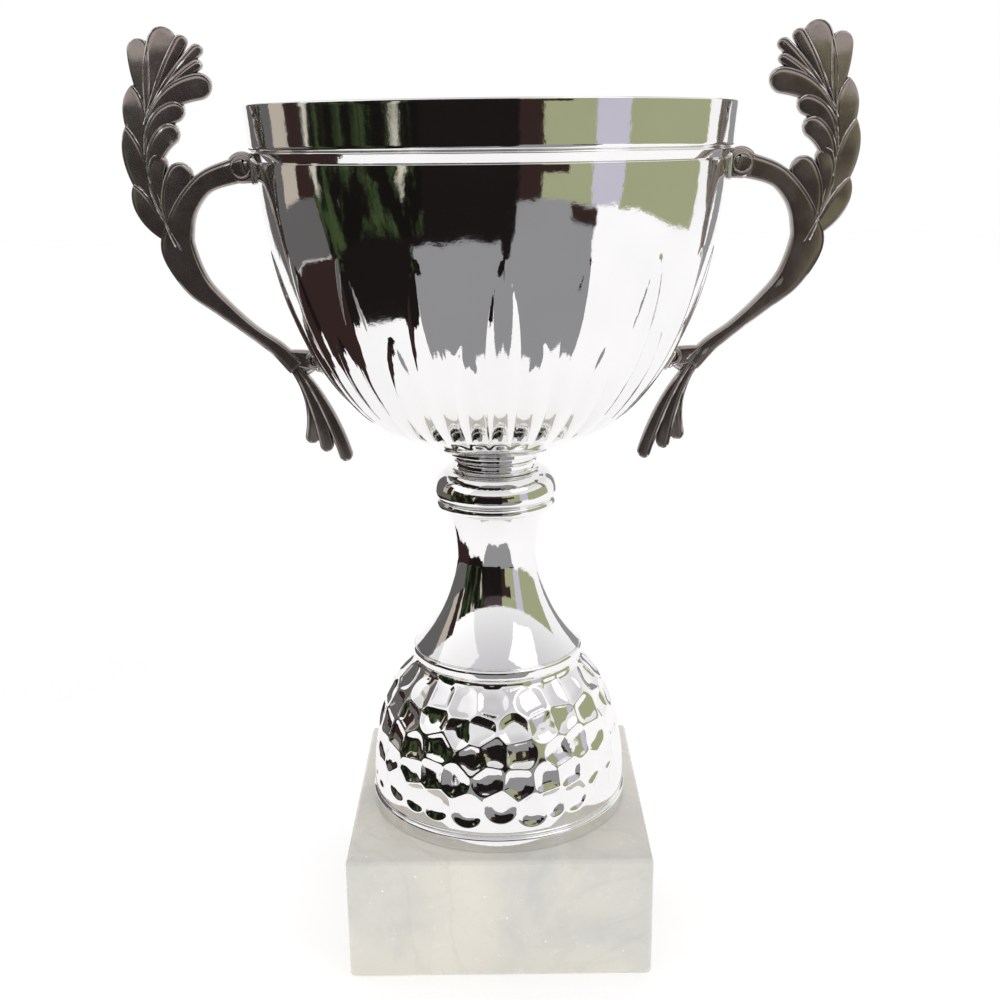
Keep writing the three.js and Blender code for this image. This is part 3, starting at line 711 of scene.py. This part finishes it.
# A strip along a spine: nearly flat on both faces, rounded over at its edges, tilted up
# towards the side that carries the raised line. All in millimetres.
def strip(spine, widths, fall, half_thickness, rim, tilt):
    across = np.sin(np.linspace(-1, 1, 31) * math.pi / 2)
    along = np.gradient(spine, axis=0)
    along /= np.linalg.norm(along, axis=1)[:, None]
    side = np.stack([-along[:, 1], along[:, 0]], 1)
    flat = spine[:, None, :] + side[:, None, :] * (widths[:, None] * across)[:, :, None]
    edge = np.maximum(1 - np.abs(across) ** 11, 0) ** 0.3
    lift = half_thickness + 0.06 * (1 - across ** 2) + tilt * across * rim
    lift = np.repeat(lift[None], len(spine), 0)
    if rim:
        # A raised line a little in from the edge, with a shallow groove beside it.
        inset, beside = 0.42, 0.6
        place = (across[None] * rim - 1) * widths[:, None] + inset
        line, groove = np.exp(-(place / 0.22) ** 2), np.exp(-((place + beside) / 0.28) ** 2)
        lift = lift + 0.28 * line - 0.1 * groove
    height = np.maximum(lift * edge * fall[:, None], 0.0)
    height[0] = np.maximum(height[0], 0.05)
    front = np.concatenate([flat, -height[:, :, None]], 2)
    back = np.concatenate([flat, height[:, :, None]], 2)[:, -2:0:-1]
    return np.concatenate([front, back], 1)


# Sets out a leaf's spine, widths and fall at stations from its base to its tip.
def leaf_strip(leaf):
    base, control, tip, half, thickness, rim, oval = leaf
    curve = bend(base, control, tip, 400)
    lengths = run_lengths(curve)
    whole = lengths[-1]
    if oval:
        share = 1 - (1 - np.linspace(0, 1, 44)) ** 1.6
        widest = 0.6
        swell = 0.12 + 0.88 * np.sin(np.minimum(share / widest, 1) * math.pi / 2)
        taper = np.maximum(1 - np.clip((share - widest) / 0.4, 0, 1) ** 2.3, 0) ** 0.8
        widths = half * swell * np.maximum(taper, 0.01)
        stations = share * whole
        fall = np.maximum(1 - np.clip((share - 0.97) / 0.03, 0, 1) ** 3, 0) ** 0.3
    else:
        body_end = whole - half
        body = np.linspace(0, body_end, 26)
        turn = np.linspace(0, math.pi / 2, 14)[1:]
        stations = np.concatenate([body, body_end + half * np.sin(turn) * 0.9995])
        widths = np.concatenate([half * (0.25 + 0.75 * np.sin(body / body_end * math.pi / 2)),
                                 half * np.maximum(np.cos(turn), 0.02)])
        fall = np.concatenate([np.ones(26), np.maximum(1 - np.sin(turn) ** 11, 0) ** 0.3])
    # The last part of a leaf bends back a little, so that its tip catches the light above.
    droop = 0.3 * ramp(stations / whole, 0.66, 1.05) if rim else 0
    spine = np.stack([np.interp(stations, lengths, curve[:, k]) for k in (0, 1)], 1)
    return strip(spine, widths, fall * (1 - droop / thickness), thickness, rim, 0.2)


def stem_strip():
    at = np.array([s[0] for s in stem_stations], float)
    half = np.array([s[1] for s in stem_stations], float)
    fine = np.linspace(0, 1, 90)
    spine = np.stack([catmull(at[:, k], fine) for k in (0, 1)], 1)
    return strip(spine, catmull(half, fine), np.ones(len(fine)), 2.45, 1, 0.05)


# A smooth curve through evenly spaced values, read at fine, which runs from 0 to 1.
def catmull(values, fine):
    padded = np.concatenate([[2 * values[0] - values[1]], values, [2 * values[-1] - values[-2]]])
    place = fine * (len(values) - 1)
    k = np.minimum(place.astype(int), len(values) - 2)
    t = place - k
    a, b, c, d = (padded[k + i] for i in range(4))
    square, cube = 2 * a - 5 * b + 4 * c - d, 3 * b - a - 3 * c + d
    return 0.5 * (2 * b + (c - a) * t + square * t ** 2 + cube * t ** 3)


# Points given in the casting's own frame, in millimetres, moved to their place.
def cast_points(points, to_world):
    flat = points.reshape(-1, 3)
    plane = to_world(flat[:, :2])
    return np.stack([plane[:, 0], flat[:, 2] * mm, plane[:, 1]], 1)


def ring_object(name, rings, to_world):
    obj = make_object(name, cast_points(rings, to_world), tube_faces(*rings.shape[:2]))
    outward(obj)
    return obj


# Turns the faces outwards if the closed mesh is inside out.
def outward(obj):
    mesh = obj.data
    mesh.calc_loop_triangles()
    co = np.array([v.co for v in mesh.vertices])
    tri = np.array([t.vertices[:] for t in mesh.loop_triangles])
    a, b, c = co[tri[:, 0]], co[tri[:, 1]], co[tri[:, 2]]
    if np.einsum("ij,ij->i", a, np.cross(b, c)).sum() < 0:
        mesh.flip_normals()


# An ear: a round boss with a raised ring round a dished middle, the same on both faces.
def ear_object(centre, radius, to_world):
    ring = 0.62 * radius
    face = 2.5
    half = np.concatenate([
        bend((radius, 0), (radius, face), (radius - 1.1, face), 12),
        bend((radius - 1.1, face), (ring + 0.25, face), (ring + 0.1, face + 0.1), 4)[1:],
        bend((ring + 0.1, face + 0.1), (ring - 0.2, face + 0.75), (ring - 0.6, face - 0.1), 12)[1:],
        bend((ring - 0.6, face - 0.1), (ring - 0.8, face - 1.0), (0.02, face - 0.75), 14)[1:],
    ])
    mirrored = half[::-1] * np.array([1, -1])
    profile = np.concatenate([half, mirrored[:-1]])
    segments = 64
    angle = np.linspace(0, tau, segments, endpoint=False)
    spun = np.stack([centre[0] + profile[:, :1] * np.cos(angle), centre[1] + profile[:, :1] * np.sin(angle),
                     np.repeat(profile[:, 1:], segments, 1)], 2)
    obj = make_object("ear", cast_points(spun, to_world), grid_faces(len(profile), segments, True, True))
    outward(obj)
    return obj


# A saddle pad that follows the wall, or a bridge from the pad to its ear: a block with
# rounded edges, in the screw's own frame, with X along the screw. Its sizes are in
# millimetres.
def block_object(screw_height, x_from, x_to, half_y, half_z, roundness):
    place, lean = wall_place(screw_height)
    block = eight_corners("pad", [(x * mm, y * mm, z * mm) for x in (x_from, x_to)
                                  for y in (-half_y, half_y) for z in (-half_z, half_z)])
    edge = block.modifiers.new("edge", "BEVEL")
    edge.width = roundness * mm
    edge.segments = 4
    bake_modifiers(block)
    turn = Matrix.Translation((place[0], 0, place[1])) @ Matrix.Rotation(-lean, 4, "Y")
    block.data.transform(turn)
    outward(block)
    return block


# The bowl's outside with a gap all round, which the casting is cut back to.
def envelope():
    body = bowl_curve(wall_gap, 1.5 * mm)
    bead, rim, axis = bead_radius + wall_gap, rim_foot + wall_gap, 0.1 * mm
    top = [(bead, bowl_body + 0.4 * mm), (bead, bead_top), (rim, bead_top), (rim_outer + wall_gap, bowl_top),
           (axis, bowl_top), (axis, 0)]
    plug = turned("envelope", np.concatenate([[(bowl_hub + wall_gap, 0)], body, top]), 240)
    plug.data.transform(Matrix.Translation((0, 0, bowl_z)))
    outward(plug)
    return plug


def build_handles():
    to_world = casting_map()
    handle = ring_object("right_handle_casting", stem_strip(), to_world)
    pieces = [ring_object("leaf", leaf_strip(leaf), to_world) for leaf in leaves]
    pieces.append(ring_object("arm", leaf_strip(arm), to_world))
    pieces.append(ear_object(upper_ear, 4.6, to_world))
    pieces.append(ear_object(lower_ear, 3.3, to_world))
    pads = [(upper_screw_height, -1.5, 1.8, 5, 3.8, 0.7), (lower_screw_height, -1.5, 1.8, 5, 3.2, 0.7)]
    bridges = [(upper_screw_height, 0.2, 4.6, 2.4, 3.3, 0.9), (lower_screw_height, 0.2, 3.3, 2.4, 2.4, 0.9)]
    pieces += [block_object(*sizes) for sizes in pads + bridges]
    for piece in pieces:
        boolean(handle, piece, "UNION")
    boolean(handle, envelope(), "DIFFERENCE")
    left_mesh = handle.data.copy()
    left_mesh.transform(Matrix.Rotation(math.pi, 4, "Z"))
    left = bpy.data.objects.new("left_handle_casting", left_mesh)
    bpy.context.scene.collection.objects.link(left)
    finish_piece(handle, casting, "right_handle", angle=38)
    finish_piece(left, casting, "left_handle", angle=38)


# ---------- Fasteners ----------

# A threaded rod: fine rows where its ends show, plain between.
def build_rod():
    low_z, high_z = low("centre_rod").z, high("centre_rod").z
    radius, pitch, deep, run, step = 2.98 * mm, 1.0 * mm, 0.55 * mm, 12 * mm, 0.1 * mm
    lower, upper = np.arange(low_z, low_z + run, step), np.arange(high_z - run, high_z, step)
    rows = np.concatenate([lower, upper, [high_z]])
    segments = 48
    angle = np.arange(segments) / segments * tau
    phase = rows[:, None] / pitch - angle[None] / tau
    groove = 1 - np.abs(2 * (phase - np.floor(phase)) - 1)
    near_end = np.minimum(rows - low_z, high_z - rows)
    point = np.clip(1 - near_end / (0.8 * mm), 0, 1)[:, None]
    spun = np.minimum(radius - deep * groove, radius - deep * point)
    rod = make_object("threaded_rod", around(spun, angle, rows[:, None]), tube_faces(len(rows), segments))
    outward(rod)
    finish_piece(rod, steel, "centre_rod")


# A nut whose corners are chamfered at both faces, with a bore that clears the thread.
def build_nut(node):
    base, top = low(node).z, high(node).z
    height = top - base
    apothem, bore, chamfer = 5 * mm, 3.12 * mm, 0.35 * mm
    corner = apothem / math.cos(math.pi / 6)
    segments = 144
    angle = np.arange(segments) / segments * tau
    wedge = (angle + math.pi / 6) % (math.pi / 3) - math.pi / 6
    hexagon = apothem / np.cos(wedge)
    profile = [(bore + chamfer, 0), (corner - 0.9 * mm, 0)]
    profile += [(corner + 0.1 * mm, z) for z in np.linspace(0.55 * mm, height - 0.55 * mm, 8)]
    profile += [(corner - 0.9 * mm, height), (bore + chamfer, height), (bore, height - chamfer)]
    profile += [(bore, chamfer)]
    profile = spaced(profile + [profile[0]], 0.18 * mm)[:-1]
    points = around(np.minimum(profile[:, :1], hexagon), angle, base + profile[:, 1:])
    nut = make_object(node + "_steel", points, grid_faces(len(profile), segments, True, True))
    outward(nut)
    finish_piece(nut, steel, node, angle=25)


def washer_profile(radius, bore, thickness):
    edge, middle = 0.15 * mm, (bore, thickness / 2)
    corners = [middle, (bore, 0), (radius, 0), (radius, thickness), (bore, thickness), middle]
    return rounded(corners, [0, edge, 2 * edge, 2 * edge, edge, 0], 5)[:-1]


def build_washer(node):
    washer = turned(node + "_steel", washer_profile(high(node).y, rod_hole, height_of(node)), 96)
    washer.location.z = low(node).z
    outward(washer)
    finish_piece(washer, steel, node)


# A pan-head screw with a cross recess and its washer, both inside the bowl.
def build_screw(side, level, height):
    (x, z), lean = wall_place(height)
    washer_radius, washer_bore, washer_height = 3.4 * mm, 1.75 * mm, 0.6 * mm
    # The washer is flat and the wall is hollow, so it seats on its own edge.
    washer_rise = washer_radius * math.tan(math.pi / 40)
    seat = -bowl_wall - wall_gap - washer_rise - washer_height
    shank, shank_end, crown, axis = 1.5 * mm, 9.0 * mm, -1.9 * mm, 0.02 * mm
    head = [(axis, crown), (1.9 * mm, -1.85 * mm), (2.65 * mm, -1.2 * mm), (2.8 * mm, -0.2 * mm),
            (2.7 * mm, 0), (shank, 0), (shank, shank_end), (axis, shank_end)]
    profile = rounded(head, [0, 0.8 * mm, 0.6 * mm, 0.15 * mm, 0.1 * mm, 0.1 * mm, 0.6 * mm, 0], 7)
    screw = turned(f"{side}_{level}_screw_steel", profile, 64)
    outward(screw)
    # Two tapered slots, wide at the crown, make the cross.
    recess = [(crown - 0.5 * mm, 1.55 * mm, 0.34 * mm), (crown + 1.3 * mm, 1.55 * mm * 0.45, 0.34 * mm * 0.6)]
    for turn in (0, math.pi / 2):
        slot = eight_corners("slot", [(sx * half, sy * wide, level_z) for level_z, half, wide in recess
                                      for sx in (-1, 1) for sy in (-1, 1)])
        slot.data.transform(Matrix.Rotation(turn + 0.3, 4, "Z"))
        outward(slot)
        boolean(screw, slot, "DIFFERENCE")
    ring = washer_profile(washer_radius, washer_bore, washer_height)
    washer = turned(f"{side}_{level}_washer_steel", ring, 64)
    outward(washer)
    place = Matrix.Rotation(0 if side == "right" else math.pi, 4, "Z")
    place = place @ Matrix.Translation((x, 0, z)) @ Matrix.Rotation(-lean, 4, "Y")
    place = place @ Matrix.Translation((seat, 0, 0)) @ Matrix.Rotation(math.pi / 2, 4, "Y")
    for obj, node in ((screw, "screw"), (washer, "washer")):
        obj.data.transform(place)
        finish_piece(obj, steel, f"{side}_{level}_{node}")


# ---------- Build it ----------

build_marble()
build_foot()
build_bell()
build_knob()
build_neck()
build_collar()
build_bowl()
build_handles()
build_rod()
build_nut("base_nut")
build_nut("bowl_nut")
build_washer("base_washer")
build_washer("bowl_washer")
for side in ("right", "left"):
    build_screw(side, "upper", upper_screw_height)
    build_screw(side, "lower", lower_screw_height)


# ---------- Studio ----------

# Makes a material glow and reflect nothing.
def glow(n, color):
    n.set(Base_Color=(0, 0, 0, 1), Specular_IOR_Level=0.0)
    return n.set(Emission_Color=color, Emission_Strength=1.0)


def card_material(name, *color):
    return glow(Nodes("card_" + name), (*color, 1))


# A busy room beyond the left of the camera: near-black with green, pale and warm patches.
def leafy_material():
    n = Nodes("card_room")
    patches = n.noise(1, 3, 0.6, n.stretch((16, 16, 6)))
    windows = n.noise(1, 2, 0.5, n.stretch((9, 9, 5)))
    color = n.mix(n.span(patches, 0.5, 0.62, 0, 1), (0.008, 0.007, 0.006, 1), (0.05, 0.075, 0.03, 1))
    return glow(n, n.mix(n.span(windows, 0.6, 0.66, 0, 1), color, (0.62, 0.6, 0.5, 1)))


# A card is seen only in the metal's reflections.
def reflection_card(name, points, columns, material):
    obj = make_object(name, points, grid_faces(2, columns, False, False))
    obj.data.materials.append(material)
    obj.visible_camera = False
    obj.visible_diffuse = False
    obj.visible_shadow = False


# An upright card: part of a ring round the trophy. Angles are in degrees from the front
# towards the right-hand handle.
def card(name, from_angle, to_angle, distance, bottom, top, material):
    steps = max(2, int(abs(to_angle - from_angle) / 3))
    angle = np.radians(np.linspace(from_angle, to_angle, steps + 1))
    points = around(distance, angle, np.array([[bottom], [top]]))
    reflection_card(name, points, steps + 1, material)


# A card lying on the floor: part of a ring between two distances, with a wavy near edge
# that round_off draws out towards its two ends.
def floor_card(name, from_angle, to_angle, near, far, material, round_off=0.0, power=6, lift=0.4 * mm):
    steps = max(8, int(abs(to_angle - from_angle)))
    angle = np.radians(np.linspace(from_angle, to_angle, steps + 1))
    wave = 1 + 0.035 * np.sin(9 * angle + 1) + 0.02 * np.sin(23 * angle)
    edge = near + (far - near) * round_off * np.abs(np.linspace(-1, 1, steps + 1)) ** power
    points = around(np.stack([edge * wave, np.full_like(angle, far)]), angle, lift)
    reflection_card(name, points, steps + 1, material)


# A pale floor. Seen from below it is clear, so that the underside can be looked at.
def build_floor():
    half = 3
    corners = [(-half, -half, 0), (half, -half, 0), (half, half, 0), (-half, half, 0)]
    floor = make_object("floor", corners, [(0, 1, 2, 3)])
    n = Nodes("floor_paint")
    n.set(Base_Color=(0.9, 0.9, 0.895, 1), Roughness=0.6, Emission_Color=(1, 1, 1, 1), Emission_Strength=0.29)
    clear = n.add("ShaderNodeBsdfTransparent").outputs[0]
    below = n.add("ShaderNodeNewGeometry").outputs["Backfacing"]
    both = n.add("ShaderNodeMixShader", {0: below, 1: n.shader.outputs[0], 2: clear})
    n.plug(n.tree.nodes["Material Output"].inputs["Surface"], both.outputs[0])
    floor.data.materials.append(n.material)


# The cards stand in for the room that the real metal reflects.
def build_cards():
    dark = card_material("dark", 0.012, 0.009, 0.009)
    brown = card_material("brown", 0.035, 0.02, 0.018)
    plum = card_material("plum", 0.07, 0.05, 0.055)
    grey = card_material("grey", 0.13, 0.125, 0.125)
    mid = card_material("mid", 0.30, 0.30, 0.31)
    olive = card_material("olive", 0.38, 0.40, 0.24)
    lilac = card_material("lilac", 0.58, 0.56, 0.66)
    beige = card_material("beige", 0.5, 0.45, 0.38)
    leafy = leafy_material()
    reach, split, shelf, top, ceiling = 0.62, 0.262, 0.09, 0.335, 0.33

    # Each upright card: its two angles, distance, bottom, top and material.
    upright = {
        "front": (-30, 12, reach, 0.0, split, dark),
        "front_high": (-30, 12, reach, split, top, plum),
        "front_brown": (12, 22, reach, shelf, split, brown),
        "right_brown": (22, 34, reach, 0.19, split, brown),
        "right_low": (9, 48, reach + 0.01, 0.0, shelf, mid),
        "right_blob": (35, 49, reach - 0.01, 0.035, 0.085, brown),
        "right_high": (12, 45, reach, split, top, olive),
        "right_olive": (22, 45, reach + 0.005, shelf, split, olive),
        "right_lilac": (45, 61, reach, shelf, ceiling, lilac),
        "right_olive_2": (61, 111, reach, 0.075, ceiling, olive),
        "right_streak": (136, 150, reach, 0.0, 0.40, mid),
        "left_room": (-89, -30, reach, 0.0, ceiling, leafy),
        "left_low": (-142, -89, reach + 0.01, 0.0, 0.135, grey),
        "left_brown": (-100, -89, reach, 0.135, 0.42, brown),
        "left_beige": (-112, -100, reach, 0.135, 0.42, beige),
        "left_grey": (-142, -112, reach, 0.135, 0.45, grey),
    }
    for name, values in upright.items():
        card("card_" + name, *values)
    # Each floor card: its two angles, near and far distance, material and the near edge.
    lying = {
        "grey": (-40, 48, 0.195, 0.63, mid, 0.6, 8),
        "wedge": (2, 12, 0.42, 0.63, dark, 0.9, 2, 0.6 * mm),
        "dark": (-84, -38, 0.30, 0.62, dark),
        "left": (-140, -84, 0.26, 0.62, brown),
        "front": (-60, 9, 0.54, 0.63, dark, 0.0, 2, 0.5 * mm),
    }
    for name, values in lying.items():
        floor_card("card_floor_" + name, *values)


# White at the horizon, greyer overhead.
def build_world():
    world = bpy.data.worlds.new("studio")
    world.use_nodes = True
    tree = world.node_tree
    split = tree.nodes.new("ShaderNodeSeparateXYZ")
    tree.links.new(tree.nodes.new("ShaderNodeTexCoord").outputs["Generated"], split.inputs[0])
    ceiling = tree.nodes.new("ShaderNodeValToRGB")
    ceiling.color_ramp.elements[0].position = 0.2
    ceiling.color_ramp.elements[0].color = (1, 1, 1, 1)
    ceiling.color_ramp.elements[1].position = 0.95
    ceiling.color_ramp.elements[1].color = (0.62, 0.61, 0.64, 1)
    tree.links.new(split.outputs["Z"], ceiling.inputs["Fac"])
    background = tree.nodes["Background"]
    tree.links.new(ceiling.outputs["Color"], background.inputs["Color"])
    background.inputs["Strength"].default_value = 1.0
    bpy.context.scene.world = world


# A soft lamp, size metres square, aimed at the trophy.
def area(name, place, size, power):
    light = bpy.data.lights.new(name, "AREA")
    light.size = size
    light.energy = power
    lamp = bpy.data.objects.new(name, light)
    lamp.location = place
    aim = Vector((0, 0, 0.13))
    lamp.rotation_euler = (aim - Vector(place)).to_track_quat("-Z", "Y").to_euler()
    bpy.context.scene.collection.objects.link(lamp)


# The camera stands where the photograph was taken from.
def build_camera():
    data = bpy.data.cameras.new("camera")
    data.sensor_width = 36
    data.lens = 46.1
    data.clip_start = 0.01
    camera = bpy.data.objects.new("camera", data)
    yaw, pitch, roll = math.radians(0.014), math.radians(15.822), math.radians(-0.644)
    forward = Vector((math.sin(yaw) * math.cos(pitch), math.cos(yaw) * math.cos(pitch), -math.sin(pitch)))
    right = Vector((math.cos(yaw), -math.sin(yaw), 0))
    up = right.cross(forward)
    turned_right = math.cos(roll) * right + math.sin(roll) * up
    turned_up = math.cos(roll) * up - math.sin(roll) * right
    turn = Matrix((turned_right, turned_up, -forward)).transposed()
    eye = (1.26 * mm, -383.0 * mm, 246.69 * mm)
    camera.matrix_world = Matrix.Translation(eye) @ turn.to_4x4()
    bpy.context.scene.collection.objects.link(camera)
    bpy.context.scene.camera = camera


build_floor()
build_cards()
build_world()
area("key", (0.9, -0.7, 1.3), 0.9, 2.2)
area("fill", (-1.1, -0.3, 1.0), 1.2, 1.2)
area("top", (0.0, 0.4, 1.5), 1.0, 1.2)
build_camera()
bpy.context.scene.view_settings.view_transform = "Standard"
